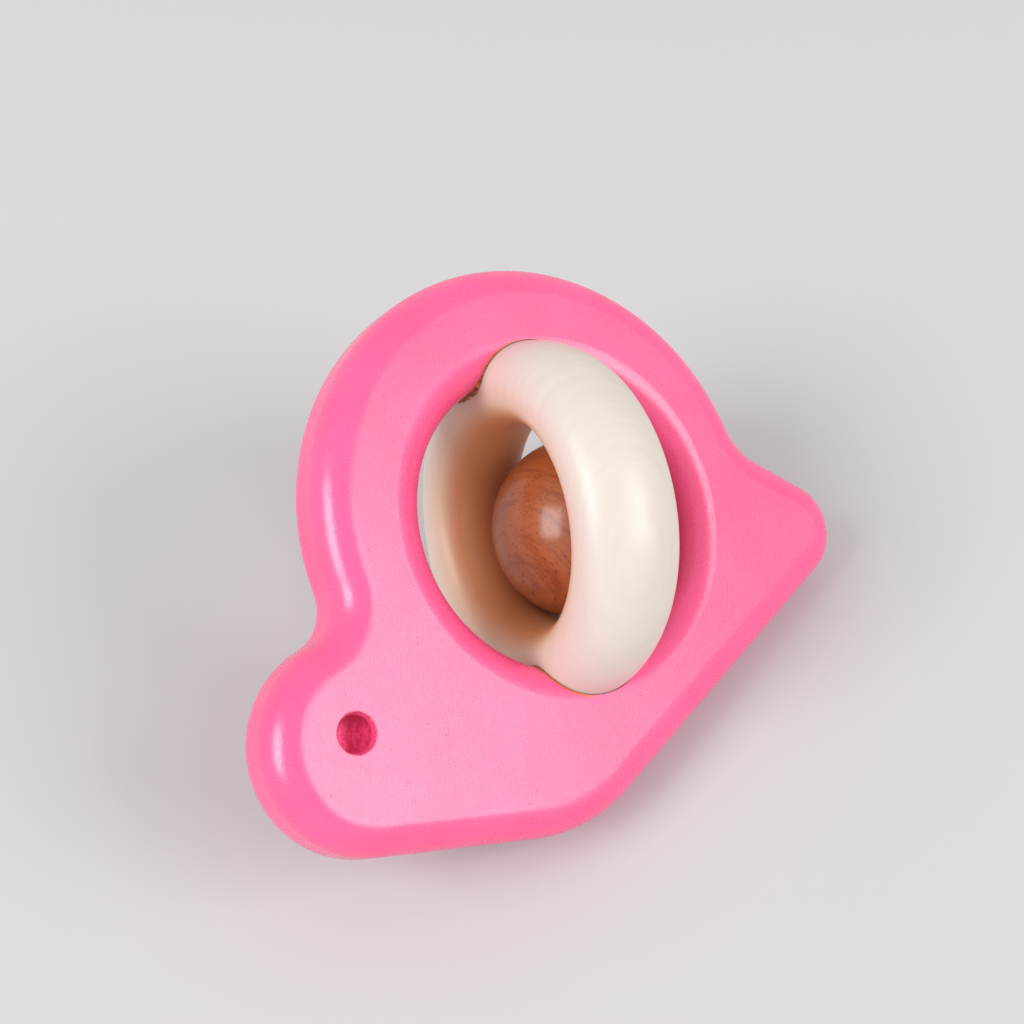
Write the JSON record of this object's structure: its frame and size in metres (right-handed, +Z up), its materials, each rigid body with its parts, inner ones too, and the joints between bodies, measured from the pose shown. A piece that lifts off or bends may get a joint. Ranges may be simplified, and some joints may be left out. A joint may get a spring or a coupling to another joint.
{
  "type": "wooden snail rattle",
  "caption": "Snail-shaped wooden board with a round hole, a turned ring fixed crosswise through it and a loose ball caged between them.",
  "frame": {"origin": "on the table, below the middle of the toy as it lies at rest on the back edge of its foot and on its ring", "axes": "+X along the foot from the head to the tail, +Z up from the table; the board leans back so that its front face looks up and towards -Y"},
  "size_m": [0.1128, 0.0698, 0.0607],
  "materials": {
    "pink_paint": "pink paint, satin, over sanded wood",
    "pale_lacquered_wood": "clear gloss lacquer",
    "brown_lacquered_wood": "clear gloss lacquer"
  },
  "bodies": {
    "snail": {"snail_board": "pink_paint", "ring": "pale_lacquered_wood"},
    "ball": {"ball": "brown_lacquered_wood"}
  },
  "joints": [
    {"name": "ball_travel", "type": "slide", "parent": "snail", "child": "ball", "axis": [-0.7515, 0.3461, 0.5617], "range_m": [0, 0.0184]}
  ]
}
